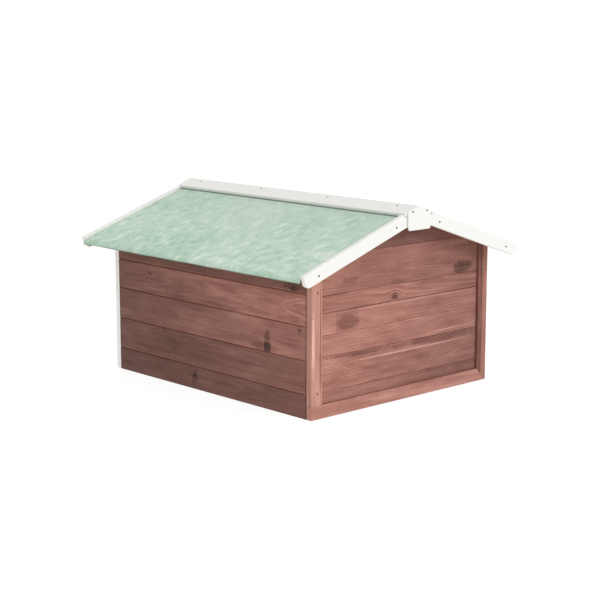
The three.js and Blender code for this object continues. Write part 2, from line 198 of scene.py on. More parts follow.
def grain(finish, box, along, across, ring, pith, taper, knots=(), seed=0.0):
    """Growth rings cut by a board: returns the latewood lines, the fibres, the knots and their halos.

    The pith is that far from the board's middle, across it and behind its face, and the rings close
    towards one end by taper, which draws the arches on a flat-sawn board.
    """
    deep = 3 - along - across
    length, width, depth = (finish.axes[axis] for axis in (along, across, deep))
    low, high = box
    middle = [(low[axis] + high[axis]) / 2 for axis in range(3)]

    def stretched(long, wide, offset):
        sizes = [wide, wide, wide]
        sizes[along] = long
        return finish.noise(sizes, 2.0, seed + offset)

    sideways = width - (middle[across] + pith[0]) + 22.0 * stretched(380.0, 120.0, 3.1)
    behind = depth - (middle[deep] + pith[1]) + (length - middle[along]) * taper
    radius = (sideways * sideways + behind * behind).root()
    core, halo = None, None
    for index, (at, level, size) in enumerate(knots):
        ragged = 1.0 + 1.1 * stretched(size * 0.8, size * 1.0, 5.0 + index)
        step_along = (length - at) / 1.3
        step_across = width - level
        distance = (step_along * step_along + step_across * step_across).root() * ragged / size
        bulge = finish.start.maths("EXPONENT", distance * distance * -0.22)
        radius = radius + bulge * (size * 1.1)
        heart = distance.ease(0.75, 0.25) * 0.45
        spot, cloud = distance.ease(1.2, 0.8) - heart, distance.ease(4.2, 0.8)
        core = spot if core is None else core.most(spot)
        halo = cloud if halo is None else halo.most(cloud)
    wobble = stretched(70.0, 9.0, 7.7)
    turns = finish.start.maths("FRACT", radius / ring + wobble * 0.55)
    late = turns.ease(0.30, 0.84) * turns.ease(1.0, 0.92)
    fibre = stretched(95.0, 1.3, 11.0)
    showing = stretched(260.0, 70.0, 15.0).ease(-0.16, 0.16)
    return late * (0.35 + showing * 0.65), fibre, core, halo


def stained_pine(
    name, node, along, across, ring=5.0, pith=(10.0, -55.0), taper=0.04, knots=(), staves=(), clouds=(),
    bands=(), arches=(), tone=1.0, fade=0.0, contrast=0.10, streaks=0.30, seed=0.0, joint=0.0,
    joints=(0.2, 0.2), ends=0.0, flank=0.0, pale=0.0,
):
    """The stain on one board: rings, fibres, knots, glued staves, cloudy take-up and darker joints.

    Staves are (place along the board, tone after it), bands (from, to, darkening) across it, clouds
    (along, across, half length, half height, darkening), arches (tip along, across, run, half height
    there, lightening) single pale rings, joints the darkening of the lower and upper edge over the
    joint's width, ends that of both ends and flank that of the face round the corner. A positive joint
    darkening is stain pooled in the groove and a negative one is painted light against the groove's
    shade; the ends darkening is painted shade for the gaps beside the posts, and flank is painted shade
    on a side face. Pale thins the stain all over. Lengths are in mm.
    """
    finish = Finish(name)
    box = reach(node)
    low, high = box
    late, fibre, core, halo = grain(finish, box, along, across, ring, pith, taper, knots, seed)
    length, width = finish.axes[along], finish.axes[across]

    def drawn(long, wide, detail, offset):
        sizes = [wide, wide, wide]
        sizes[along] = long
        return finish.noise(sizes, detail, seed + offset)

    patch = drawn(240.0, 60.0, 3.0, 20.0)
    streak = drawn(320.0, 11.0, 2.0, 26.0)
    cloudy = drawn(85.0, 26.0, 6.0, 33.0)
    strand = drawn(130.0, 4.2, 3.0, 38.0)
    grit = drawn(3.4, 2.6, 3.0, 41.0)
    strokes = drawn(6.0, 34.0, 2.0, 47.0)
    shade = 0.5 + pale + (late - 0.3) * contrast + fibre * 0.30 + strand * 0.20 + grit * 0.16
    shade = shade + patch * 0.34 + streak * streaks + cloudy * 0.42
    if core is not None:
        shade = shade - core * 0.27 - halo * 0.13 + late * halo * 0.24
    for start, end, amount in bands:
        shade = shade - width.ease(start - 0.8, start + 0.8) * width.ease(end + 0.8, end - 0.8) * amount
    for at, level, long, wide, amount in clouds:
        step_along = (length - at) / long
        step_across = (width - level) / wide
        distance = (step_along * step_along + step_across * step_across).root()
        distance = distance + patch * 0.9 + cloudy * 0.9 + strokes * 0.9
        shade = shade - distance.ease(1.15, 0.65) * amount
    for tip, level, run, half, amount in arches:
        beyond = ((length - tip) / run).most(0.0)
        spread = beyond.root() * half + cloudy * 9.0
        off_centre = (width - level).absolute()
        line = (off_centre - spread).absolute().ease(2.4, 0.6)
        shade = shade + line * beyond.ease(0.0, 0.06) * beyond.ease(1.5, 0.8) * amount
    light = tone + (length - (low[along] + high[along]) / 2) * (fade / (high[along] - low[along]))
    before = 1.0
    for edge, after in staves:
        light = light + length.past(edge) * (after - before)
        before = after
    # Joint edges: a positive amount darkens them as stain pooled in the groove; a negative one lightens them
    # as painted light against the groove's real shade.
    for inward, amount in zip((width - low[across], high[across] - width), joints):
        if joint and amount:
            light = light * (1.0 - inward.ease(joint * 2.0, joint * 0.8) * amount)
    # Painted shade: darkens both ends of the board, for the shade in the gaps beside the posts.
    if ends:
        for inward in (length - low[along], high[along] - length):
            light = light * (1.0 - inward.ease(END_SHADE_WIDTH, END_SHADE_WIDTH * 0.4) * ends)
    # Painted shade: darkens the face round the corner, a side face turned away from the key light.
    if flank:
        light = light * (1.0 - width.past(high[across] - FLANK_DEPTH) * flank)
    colour = shade.node("ShaderNodeValToRGB", {0: shade}, stops=STAIN).shaded(light)
    roughness = 0.60 + fibre * 0.22 + patch * 0.12
    return finish.close(colour, roughness, late * 0.5 + fibre, 0.4, 0.4, gloss=0.22)


def arris(node, radius_mm, segments=2):
    """Eases the sharp edges of a CAD node, as sanding does."""
    weld = node.modifiers.new("joined", "WELD")
    weld.merge_threshold = 0.00002
    bevel = node.modifiers.new("arris", "BEVEL")
    bevel.width = radius_mm / 1000.0
    bevel.segments = segments
    bevel.limit_method = "ANGLE"
    bevel.angle_limit = math.radians(28.0)


def dress(name, material, radius_mm=0.7):
    """Puts a finish on a CAD node and eases its edges."""
    node = nodes[name]
    node.data.materials.clear()
    node.data.materials.append(material)
    arris(node, radius_mm)


ALONG_X, ALONG_Y, ALONG_Z = 0, 1, 2
# Width of the joint band: stain pooled in the grooves, and painted light where the amounts below are
# negative.
JOINT_STAIN_AND_LIGHT_BAND = 2.6

RIGHT_BOARDS = [
    dict(tone=0.50, fade=0.20, ring=3.6, pith=(4.0, -40.0), taper=0.03, contrast=0.06,
         knots=[(-43.0, 37.0, 4.0)], clouds=[(-43.0, 34.0, 13.0, 26.0, 0.13)], joints=(0.0, -0.05)),
    dict(tone=0.61, fade=0.30, ring=4.2, pith=(30.0, -70.0), taper=0.02, contrast=0.05,
         knots=[(-168.0, 140.0, 3.5)], clouds=[(-60.0, 100.0, 190.0, 30.0, 0.05)], joints=(-0.40, 0.0)),
    dict(tone=0.83, fade=0.60, ring=4.0, pith=(-26.0, -46.0), taper=0.025, contrast=0.05,
         knots=[(237.0, 157.0, 5.5), (352.0, 214.0, 3.5)],
         clouds=[(239.0, 168.0, 12.0, 32.0, 0.22), (226.0, 154.0, 46.0, 12.0, 0.10),
                 (-170.0, 176.0, 60.0, 22.0, 0.06)], joints=(-0.25, 0.10)),
    dict(tone=0.97, fade=0.80, ring=4.4, pith=(2.0, -48.0), taper=0.04, contrast=0.06,
         knots=[(-225.0, 279.0, 4.5)],
         arches=[(322.0, 270.0, 64.0, 15.0, 0.16), (292.0, 268.0, 94.0, 26.0, 0.17),
                 (100.0, 262.0, 120.0, 15.0, 0.11)],
         clouds=[(-120.0, 262.0, 150.0, 24.0, 0.03), (-60.0, 232.0, 190.0, 7.0, 0.14),
                 (330.0, 236.0, 60.0, 8.0, 0.10)],
         staves=[(7.0, 1.09), (57.0, 1.0)], joints=(-0.05, -0.25)),
    dict(tone=0.55, fade=0.10, ring=3.8, pith=(16.0, -60.0), taper=0.03, contrast=0.04,
         knots=[(330.0, 311.0, 6.0)], clouds=[(325.0, 314.0, 40.0, 9.0, 0.20)], joints=(-0.25, 0.0)),
]
LEFT_BOARDS = [
    dict(tone=0.74, ring=4.0, pith=(-8.0, 52.0), taper=0.03, contrast=0.06, knots=[(120.0, 24.0, 4.5)],
         joints=(0.0, 0.0)),
    dict(tone=0.86, ring=4.4, pith=(20.0, 60.0), taper=0.03, contrast=0.06, knots=[(-210.0, 96.0, 5.5)],
         clouds=[(-207.0, 104.0, 18.0, 26.0, 0.16)], joints=(-0.2, 0.0)),
    dict(tone=0.80, ring=3.8, pith=(-12.0, 44.0), taper=0.03, contrast=0.05, knots=[(60.0, 190.0, 4.0)],
         joints=(-0.1, 0.0)),
    dict(tone=0.92, ring=4.2, pith=(6.0, 50.0), taper=0.04, contrast=0.07, knots=[(265.0, 268.0, 5.5)],
         clouds=[(262.0, 262.0, 20.0, 26.0, 0.14)], arches=[(-190.0, 262.0, 110.0, 20.0, 0.14)],
         joints=(-0.1, 0.0)),
    dict(tone=0.64, ring=4.0, pith=(-10.0, 58.0), taper=0.03, contrast=0.05, joints=(-0.1, 0.0)),
]
for side, boards in (("right", RIGHT_BOARDS), ("left", LEFT_BOARDS)):
    for number, board in enumerate(boards, 1):
        name = f"side_board_{side}_{number}"
        seed = number * 3.7 + (0.0 if side == "right" else 31.0)
        # ends paints shade in the gaps at the posts; negative joints paint light on the edges against the
        # grooves' shade.
        finish = stained_pine(
            f"stained_{name}", name, ALONG_Y, ALONG_Z, seed=seed, joint=JOINT_STAIN_AND_LIGHT_BAND, ends=0.5, **board)
        dress(name, finish, 0.5)

# ---------------------------------------------------------------------------
# Back gable. Seven boards laid level up to the apex, each glued up from short staves of close-grained
# pine, so the colour changes at upright glue lines. Same stain as the sides.
# ---------------------------------------------------------------------------

# Width of the joint band: stain pooled in the grooves, and painted light where the amounts below are
# negative.
GABLE_JOINT_STAIN_AND_LIGHT_BAND = 1.4
GABLE_BOARDS = [
    dict(tone=0.85, pith=(150.0, -60.0), ring=4.6, taper=0.02, fade=0.35,
         staves=[(-90.0, 1.05), (140.0, 0.98)], joints=(0.0, 0.0)),
    dict(tone=1.01, pith=(-130.0, -50.0), ring=5.0, taper=0.03, contrast=0.27, fade=0.49,
         staves=[(-40.0, 1.0), (35.0, 1.04)], joints=(0.0, -0.1),
         clouds=[(-150.0, 137.0, 170.0, 10.0, 0.20), (160.0, 142.0, 125.0, 6.0, 0.16),
                 (-40.0, 123.0, 230.0, 2.6, -0.30)]),
    dict(tone=1.10, pith=(180.0, -50.0), ring=5.0, taper=0.02, contrast=0.24, fade=0.39,
         staves=[(-120.0, 1.04), (90.0, 1.0)], joints=(0.0, -0.1),
         clouds=[(-190.0, 156.0, 110.0, 2.2, -0.24)]),
    dict(tone=1.13, pith=(-160.0, -60.0), ring=4.8, taper=0.03, contrast=0.24, fade=0.35,
         staves=[(-60.0, 1.04), (155.0, 0.84), (230.0, 1.02)], joints=(-0.1, 0.1),
         clouds=[(192.0, 222.0, 40.0, 20.0, 0.16), (-60.0, 248.0, 240.0, 2.0, -0.16)]),
    dict(tone=1.10, pith=(26.0, -70.0), ring=4.8, taper=0.03, contrast=0.18, fade=0.35,
         knots=[(28.0, 265.0, 7.5)], staves=[(-170.0, 1.03)], joints=(0.35, 0.0)),
    dict(tone=0.94, pith=(-150.0, -70.0), ring=5.2, taper=0.02, contrast=0.11, fade=0.31,
         staves=[(-190.0, 1.06), (60.0, 1.02), (150.0, 1.08)], joints=(0.05, 0.0),
         clouds=[(-224.0, 311.0, 34.0, 15.0, 0.24), (182.0, 325.0, 34.0, 9.0, 0.14),
                 (20.0, 300.0, 22.0, 8.0, 0.10)]),
    dict(tone=0.64, pith=(120.0, -60.0), ring=5.0, taper=0.03, contrast=0.07, fade=0.15,
         staves=[(10.0, 1.04)], joints=(0.1, 0.0)),
]
for number, board in enumerate(GABLE_BOARDS, 1):
    name = f"back_board_{number}"
    finish = stained_pine(
        f"stained_{name}", name, ALONG_X, ALONG_Z, seed=50.0 + number * 4.3, joint=GABLE_JOINT_STAIN_AND_LIGHT_BAND, **board)
    dress(name, finish, 0.4)

# ---------------------------------------------------------------------------
# Back frame. Two planed corner posts and a bottom rail, mitred where it meets the left post, stained
# with the walls and worn paler on their outer corners.
# ---------------------------------------------------------------------------

BACK_FRAME = {
    # The right post's flank darkening is painted shade on its side face.
    "corner_post_back_right": dict(
        along=ALONG_Z, across=ALONG_X, tone=1.23, pale=0.17, ring=9.0, pith=(-30.0, -60.0), taper=0.02,
        contrast=0.05, streaks=0.12, seed=90.0, flank=0.17,
        clouds=[(190.0, 309.5, 92.0, 4.0, -0.26), (150.0, 286.5, 220.0, 2.0, 0.3)]),
    "corner_post_back_left": dict(
        along=ALONG_Z, across=ALONG_X, tone=1.06, ring=9.0, pith=(24.0, -60.0), taper=0.02, contrast=0.05,
        streaks=0.14, seed=95.0, bands=[(-298.0, -270.0, 0.27)]),
    "back_bottom_rail": dict(
        along=ALONG_X, across=ALONG_Z, tone=1.11, pale=0.08, ring=8.0, pith=(12.0, -60.0), taper=0.02,
        contrast=0.06, fade=0.2, seed=99.0, knots=[(-120.0, 14.0, 2.0)]),
}
for name, board in BACK_FRAME.items():
    dress(name, stained_pine(f"stained_{name}", name, **board), 1.0)

# ---------------------------------------------------------------------------
# Front frame. Posts, sill and lintel of planed pine under two coats of white paint, with the grain
# just showing through and the arrises rubbed a little. The gable board above them is stained.
# ---------------------------------------------------------------------------

WHITE = (0.838, 0.830, 0.800)
WHITE_THIN = (0.755, 0.735, 0.670)
RUBBED = (0.560, 0.470, 0.360)


def white_paint(name, node, along, across, turn=0.0, seed=0.0, knots=()):
    """Brushed white paint over pine: faint grain, brush marks, thinner edges and a few rubbed spots."""
    finish = Finish(name, turn)
    low, high = reach(node, turn)
    late, fibre, core, halo = grain(
        finish, (low, high), along, across, 5.0, (9.0, -45.0), 0.04, knots, seed)
    brush_sizes = [2.2, 2.2, 2.2]
    brush_sizes[along] = 150.0
    brush = finish.noise(brush_sizes, 2.0, seed + 8.0)
    patch = finish.noise((34.0, 34.0, 34.0), 3.0, seed + 14.0)
    edge = None
    for axis in range(3):
        for gap in (finish.axes[axis] - low[axis], high[axis] - finish.axes[axis]):
            edge = gap if edge is None else edge.least(gap)
    thin = 0.16 + (late - 0.4) * 0.16 + brush * 0.35 + patch * 0.30
    if core is not None:
        thin = thin + core * 0.45 + halo * 0.08
    speck = finish.noise((9.0, 9.0, 9.0), 4.0, seed + 19.0)
    rubbed = (speck - edge * 0.16).ease(0.17, 0.24) * 0.55
    colour = rubbed.mix(thin.ease(0.0, 1.0).mix((*WHITE, 1.0), (*WHITE_THIN, 1.0)), (*RUBBED, 1.0))
    roughness = 0.45 + brush * 0.2 + rubbed * 0.2
    return finish.close(colour, roughness, brush * 0.7 + late * 0.3, 0.25, 0.35, gloss=0.35)


FRONT_FRAME = {
    "corner_post_front_right": (ALONG_Z, ALONG_X),
    "corner_post_front_left": (ALONG_Z, ALONG_X),
    "front_sill": (ALONG_X, ALONG_Z),
    "front_lintel": (ALONG_X, ALONG_Z),
}
for index, (name, (along, across)) in enumerate(FRONT_FRAME.items()):
    dress(name, white_paint(f"painted_{name}", name, along, across, seed=120.0 + index * 5.0), 0.9)
dress("front_gable_board", stained_pine(
    "stained_front_gable", "front_gable_board", ALONG_X, ALONG_Z, tone=0.95, pith=(30.0, 60.0), contrast=0.15,
    knots=[(95.0, 402.0, 4.0)], seed=140.0), 0.7)

# ---------------------------------------------------------------------------
# Inside. Corner battens that the boards are nailed to, two floor bearers and the floor panel, all
# planed pine left without a finish.
# ---------------------------------------------------------------------------

PALE_PINE = (0.690, 0.500, 0.300, 1.0)
LATE_PINE = (0.500, 0.300, 0.140, 1.0)
KNOT_PINE = (0.170, 0.080, 0.040, 1.0)
EAVE_SHADOW_PINE = (0.130, 0.105, 0.085, 1.0)


def raw_pine(name, node, along, across, turn=0.0, seed=0.0, knots=(), eave_shadow=0.0):
    """Bare planed pine, pale between orange-brown rings, with a painted shadow darkening it towards both
    edges across it when asked.
    """
    finish = Finish(name, turn)
    low, high = reach(node, turn)
    late, fibre, core, halo = grain(
        finish, (low, high), along, across, 6.0, (8.0, -44.0), 0.05, knots, seed)
    patch = finish.noise((90.0, 90.0, 90.0), 2.0, seed + 4.0)
    colour = (late * 0.6).mix(PALE_PINE, LATE_PINE)
    if core is not None:
        colour = (halo * 0.2 + core * 0.7).mix(colour, KNOT_PINE)
    colour = colour.shaded(1.0 + patch * 0.3 + fibre * 0.25)
    # Painted shadow: the colour darkens towards both edges across the board, for the shade under the felt's
    # lip.
    if eave_shadow:
        width = finish.axes[across]
        edge = (width - low[across]).least(high[across] - width)
        colour = (edge.ease(eave_shadow, eave_shadow * 0.4) * 0.9).mix(colour, EAVE_SHADOW_PINE)
    return finish.close(colour, 0.6 + fibre * 0.2, late * 0.4 + fibre, 0.35, 0.4)


INSIDE = {
    "corner_batten_back_right": (ALONG_Z, ALONG_X, ()),
    "corner_batten_back_left": (ALONG_Z, ALONG_X, ()),
    "corner_batten_front_right": (ALONG_Z, ALONG_X, ()),
    "corner_batten_front_left": (ALONG_Z, ALONG_X, ()),
    "floor_bearer_back": (ALONG_X, ALONG_Z, ()),
    "floor_bearer_front": (ALONG_X, ALONG_Z, ()),
    "floor_panel": (ALONG_Y, ALONG_X, ((-120.0, 60.0, 9.0), (210.0, -170.0, 7.0))),
}
for index, (name, (along, across, knots)) in enumerate(INSIDE.items()):
    dress(name, raw_pine(f"raw_{name}", name, along, across, 0.0, 160.0 + index * 3.0, knots), 0.8)

# ---------------------------------------------------------------------------
# Frame screws. Zinc-plated cross-head screws hold the posts front and back; each head is a shallow
# dome with a cross recess, bedded just into the wood.
# ---------------------------------------------------------------------------

SCREW_RADIUS = 0.0031
SCREW_RISE = 0.0011
RECESS_REACH = 0.0019
RECESS_HALF = 0.0005
RECESS_DEPTH = 0.0009
BEDDED = 0.0006


def domed_head(name, radius, rise, sides, recess=0.0):
    """A fixing's head on the XY plane: a dome of so many sides, with a cross recess if it has one."""
    shape = bmesh.new()
    if recess:
        half = RECESS_HALF
        top = []
        for quarter in range(4):
            spin = Matrix.Rotation(math.radians(90.0 * quarter), 3, "Z")
            for x, y in ((recess, -half), (recess, half), (half, half)):
                top.append(shape.verts.new(spin @ Vector((x, y, rise))))
        sides = len(top)
        low = [shape.verts.new(vertex.co - Vector((0.0, 0.0, RECESS_DEPTH))) for vertex in top]
        shape.faces.new(low)
        for i in range(sides):
            shape.faces.new((top[i], top[(i + 1) % sides], low[(i + 1) % sides], low[i]))
        angles = [math.atan2(vertex.co.y, vertex.co.x) for vertex in top]
    else:
        angles = [2.0 * math.pi * i / sides for i in range(sides)]
        top = [
            shape.verts.new((0.5 * radius * math.cos(a), 0.5 * radius * math.sin(a), rise)) for a in angles
        ]
        shape.faces.new(top)
    previous = top
    for share, height in ((0.84, rise * 0.62), (1.0, rise * 0.12), (1.0, -BEDDED)):
        around = [shape.verts.new((share * radius * math.cos(a), share * radius * math.sin(a), height))
                  for a in angles]
        for i in range(sides):
            after = (i + 1) % sides
            shape.faces.new((previous[i], around[i], around[after], previous[after]))
        previous = around
    shape.faces.new(previous)
    bmesh.ops.recalc_face_normals(shape, faces=shape.faces)
    mesh = bpy.data.meshes.new(name)
    shape.to_mesh(mesh)
    shape.free()
    return bpy.data.objects.new(name, mesh)


def fixings_tree(name, material):
    """Geometry nodes that stand one head on each point, turned to its outward direction."""
    tree = bpy.data.node_groups.new(name, "GeometryNodeTree")
    tree.interface.new_socket("Points", in_out="INPUT", socket_type="NodeSocketGeometry")
    head = tree.interface.new_socket("Head", in_out="INPUT", socket_type="NodeSocketObject")
    tree.interface.new_socket("Heads", in_out="OUTPUT", socket_type="NodeSocketGeometry")
    add, link = tree.nodes.new, tree.links.new
    entry, leave = add("NodeGroupInput"), add("NodeGroupOutput")
    shape = add("GeometryNodeObjectInfo")
    outward = add("GeometryNodeInputNamedAttribute")
    outward.data_type = "FLOAT_VECTOR"
    outward.inputs["Name"].default_value = "outward"
    align = add("FunctionNodeAlignRotationToVector")
    align.axis = "Z"
    spin = add("FunctionNodeRandomValue")
    spin.data_type = "FLOAT"
    spin.inputs[3].default_value = math.pi
    spin.inputs["Seed"].default_value = 7
    about = add("FunctionNodeAxisAngleToRotation")
    about.inputs["Axis"].default_value = (0.0, 0.0, 1.0)
    turned = add("FunctionNodeRotateRotation")
    turned.rotation_space = "LOCAL"
    stand = add("GeometryNodeInstanceOnPoints")
    realize = add("GeometryNodeRealizeInstances")
    coat = add("GeometryNodeSetMaterial")
    coat.inputs["Material"].default_value = material
    link(entry.outputs["Head"], shape.inputs["Object"])
    link(outward.outputs["Attribute"], align.inputs["Vector"])
    link(spin.outputs[1], about.inputs["Angle"])
    link(align.outputs[0], turned.inputs[0])
    link(about.outputs[0], turned.inputs[1])
    link(entry.outputs["Points"], stand.inputs["Points"])
    link(shape.outputs["Geometry"], stand.inputs["Instance"])
    link(turned.outputs[0], stand.inputs["Rotation"])
    link(stand.outputs[0], realize.inputs[0])
    link(realize.outputs[0], coat.inputs["Geometry"])
    link(coat.outputs[0], leave.inputs["Heads"])
    return tree, head.identifier


def settled(piece):
    """A plain mesh of the piece as its geometry nodes leave it; the modifier and the source go."""
    bpy.context.view_layer.update()
    graph = bpy.context.evaluated_depsgraph_get()
    mesh = bpy.data.meshes.new_from_object(piece.evaluated_get(graph), depsgraph=graph)
    source = piece.data
    piece.modifiers.clear()
    piece.data = mesh
    bpy.data.meshes.remove(source)
    return piece


def fixings(name, places, head, tree, socket, body):
    """One piece of like fixings on a body; places are (point, outward direction) in metres."""
    mesh = bpy.data.meshes.new(name)
    mesh.from_pydata([point for point, outward in places], [], [])
    outward = mesh.attributes.new("outward", "FLOAT_VECTOR", "POINT")
    for index, (point, direction) in enumerate(places):
        outward.data[index].vector = direction
    piece = bpy.data.objects.new(name, mesh)
    bpy.context.scene.collection.objects.link(piece)
    modifier = piece.modifiers.new("heads", "NODES")
    modifier.node_group = tree
    modifier[socket] = head
    settled(piece)
    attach(piece, body)
    return piece


ZINC = (0.63, 0.635, 0.64, 1.0)
ZINC_DULL = (0.40, 0.39, 0.375, 1.0)


def zinc(name, roughness=0.34, worn=0.0):
    """Bright zinc plate with a faint mottle and duller spots, more of them the more it is worn."""
    finish = Finish(name)
    mottle = finish.noise((9.0, 9.0, 9.0), 4.0, 2.0)
    fine = finish.noise((0.9, 0.9, 0.9), 2.0, 5.0)
    colour = (mottle + worn).ease(-0.10, 0.35).mix(ZINC, ZINC_DULL).shaded(1.0 - worn)
    return finish.close(colour, roughness + mottle * 0.35, fine + mottle, 0.05, 0.3, 1.0)


screw_head = domed_head("screw_head", SCREW_RADIUS, SCREW_RISE, 12, RECESS_REACH)
screw_zinc = zinc("screw_zinc", 0.30, 0.42)
screw_tree, screw_socket = fixings_tree("screws", screw_zinc)

POST_INSET = 0.020
BACK_SCREW_LEVELS = (0.063, 0.306)
FRONT_SCREW_LEVELS = (0.022, 0.352)
back_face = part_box("corner_post_back_right")[1].y
front_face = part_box("corner_post_front_right")[0].y
half_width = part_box("corner_post_back_right")[1].x
frame_screws = []
for sign in (-1.0, 1.0):
    x = sign * (half_width - POST_INSET)
    frame_screws += [((x, back_face, z), (0.0, 1.0, 0.0)) for z in BACK_SCREW_LEVELS]
    frame_screws += [((x, front_face, z), (0.0, -1.0, 0.0)) for z in FRONT_SCREW_LEVELS]
fixings("frame_screws", frame_screws, screw_head, screw_tree, screw_socket, "house")

# ---------------------------------------------------------------------------
# Roof deck. Two panels of bare pine board over a ridge beam; the felt is laid over them. They show
# only under the eaves and when the lid is up.
# ---------------------------------------------------------------------------

PITCH = math.radians(18.75)
EAVE_SHADOW_REACH = 14.0
# The roof panels' edges carry a painted shadow, darkened for the shade under the felt's turned-down lip.
dress("roof_panel_right", raw_pine(
    "raw_roof_panel_right", "roof_panel_right", ALONG_Y, ALONG_X, -PITCH, 190.0, ((120.0, 170.0, 8.0),),
    EAVE_SHADOW_REACH), 0.5)
dress("roof_panel_left", raw_pine(
    "raw_roof_panel_left", "roof_panel_left", ALONG_Y, ALONG_X, PITCH, 197.0, ((-90.0, -200.0, 8.0),),
    EAVE_SHADOW_REACH), 0.5)
dress("ridge_beam", raw_pine("raw_ridge_beam", "ridge_beam", ALONG_Y, ALONG_Z, 0.0, 203.0), 0.8)

# ---------------------------------------------------------------------------
# Roof felt. One sheet of green mineral felt over the ridge, nailed down under the caps and turned
# down at both eaves. It lies in slight waves, and crushed slate is rolled into its face.
# ---------------------------------------------------------------------------

FELT_THICK = 0.002
FELT_BEND = 0.004
FELT_WAVE = 0.0007
FELT_COLUMNS = 150
SLOPE_STEPS, BEND_STEPS, LIP_STEPS = 44, 4, 3
BEND_DROP = 0.6
FELT_SHAVED = 0.0002
FELT_RAGGED = 0.0003
CAP_COVER = 0.050
CAP_RELEASE, END_RELEASE = 0.04, 0.03
FELT_GREY = (0.505, 0.600, 0.515, 1.0)
FELT_SHADE = (0.150, 0.215, 0.160, 1.0)

felt_low, felt_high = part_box("roof_felt")
eave_height = felt_high.z - math.tan(PITCH) * felt_high.x


def felt_profile():
    """Half of the felt's outer line from the ridge to the lip's end, as (x, z, wave share)."""
    points = []
    bend_start = felt_high.x - FELT_BEND
    for i in range(SLOPE_STEPS + 1):
        x = bend_start * i / SLOPE_STEPS
        clear = min(1.0, max(0.0, (x - CAP_COVER) / CAP_RELEASE))
        points.append((x, felt_high.z - math.tan(PITCH) * x, clear))
    for i in range(1, BEND_STEPS + 1):
        turn = i / BEND_STEPS
        x = bend_start + FELT_BEND * math.sin(turn * math.pi / 2)
        drop = FELT_BEND * (1.0 - math.cos(turn * math.pi / 2))
        points.append((x, felt_high.z - math.tan(PITCH) * x - drop * BEND_DROP, 1.0))
    last = points[-1][1]
    for i in range(1, LIP_STEPS + 1):
        points.append((felt_high.x, last + (felt_low.z - last) * i / LIP_STEPS, 1.0))
    return points


def felt_wave(x, y):
    """How far the felt stands off its deck at a place, from 0 to 1."""
    long = math.sin(y * 13.0 + 2.0 * math.sin(x * 9.0)) * math.sin(x * 17.0 + 1.3)
    short = math.sin(y * 31.0 - x * 22.0) * math.sin(y * 7.0 + 0.6)
    return 0.5 + 0.28 * long + 0.22 * short


half_profile = felt_profile()
profile = [(-x, z, wave) for x, z, wave in reversed(half_profile[1:])] + half_profile
shape = bmesh.new()
rows = []
for j in range(FELT_COLUMNS + 1):
    y = felt_low.y + (felt_high.y - felt_low.y) * j / FELT_COLUMNS
    clear_end = min(1.0, (felt_high.y - abs(y)) / END_RELEASE)
    row = []
    for x, z, wave in profile:
        off = FELT_WAVE * wave * (0.3 + 0.7 * clear_end) * felt_wave(x, y)
        at_eave = abs(x) > felt_high.x - FELT_BEND
        lift = 0.0 if at_eave else off
        out = 0.0 if at_eave else math.copysign(off * math.tan(PITCH), x)
        ragged = FELT_RAGGED * math.sin(y * 47.0) if z <= felt_low.z + 1e-6 else 0.0
        row.append(shape.verts.new((x + out, y, z + lift + ragged)))
    rows.append(row)
for near, far in zip(rows, rows[1:]):
    for i in range(len(near) - 1):
        shape.faces.new((near[i], near[i + 1], far[i + 1], far[i]))
bmesh.ops.recalc_face_normals(shape, faces=shape.faces)
mesh = bpy.data.meshes.new("felt_sheet")
shape.to_mesh(mesh)
shape.free()
if mesh.polygons[0].normal.x * mesh.polygons[0].center.x < 0:
    mesh.flip_normals()
felt = bpy.data.objects.new("felt_sheet", mesh)
bpy.context.scene.collection.objects.link(felt)
solid = felt.modifiers.new("thickness", "SOLIDIFY")
solid.thickness = FELT_THICK - FELT_SHAVED
solid.offset = -1.0
for polygon in mesh.polygons:
    polygon.use_smooth = True

STREAK_TURN = math.radians(63.0)
finish = Finish("mineral_felt")
granule = finish.noise((1.5, 1.5, 1.5), 3.0, 1.0)
speckle = finish.noise((4.5, 4.5, 4.5), 3.0, 6.0)
mottle = finish.noise((22.0, 30.0, 22.0), 5.0, 9.0)
drift = finish.noise((190.0, 240.0, 190.0), 2.0, 12.0)
swirl = finish.start.node("ShaderNodeMapping", {
    "Vector": finish.place, "Rotation": (0.0, 0.0, STREAK_TURN), "Scale": (1 / 62.0, 1 / 13.0, 1 / 60.0)})
streaks = finish.start.node("ShaderNodeTexNoise", {
    "Vector": swirl, "Scale": 1.0, "Detail": 5.0, "Roughness": 0.6, "Distortion": 0.9}) - 0.5
shade = 0.5 + granule * 0.34 + speckle * 0.44 + mottle * 1.20 + streaks * 0.90 + drift * 0.60
FELT_TONES = [
    (0.0, (0.300, 0.455, 0.350)),
    (0.36, (0.440, 0.600, 0.475)),
    (0.56, (0.520, 0.660, 0.540)),
    (1.0, (0.790, 0.838, 0.735)),
]
colour = shade.node("ShaderNodeValToRGB", {0: shade}, stops=FELT_TONES)
up_slope = (finish.axes[2] - eave_height * 1000.0) / ((felt_high.z - eave_height) * 1000.0)
greyer = (drift * 1.2 + up_slope * 0.8).ease(0.05, 0.85)
colour = (greyer * 0.55).mix(colour, FELT_GREY)
# Painted shadow: a dark line on the felt along the foot of each ridge cap, where the cap shades it, and
# painted shade along the lip's bottom edge.
cap_line = finish.axes[0].absolute()
cap_foot_shadow = cap_line.ease(CAP_COVER * 1000.0 + 1.5, CAP_COVER * 1000.0 - 2.0) * 0.75
hem = (finish.axes[2] - felt_low.z * 1000.0).ease(3.2, 1.4)
colour = (cap_foot_shadow.most(hem * 0.7)).mix(colour, FELT_SHADE)
mesh.materials.append(finish.close(colour, 0.88 + granule * 0.15, granule + speckle, 0.45, 0.5, gloss=0.25))
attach(felt, "roof_lid")
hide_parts("roof_felt")

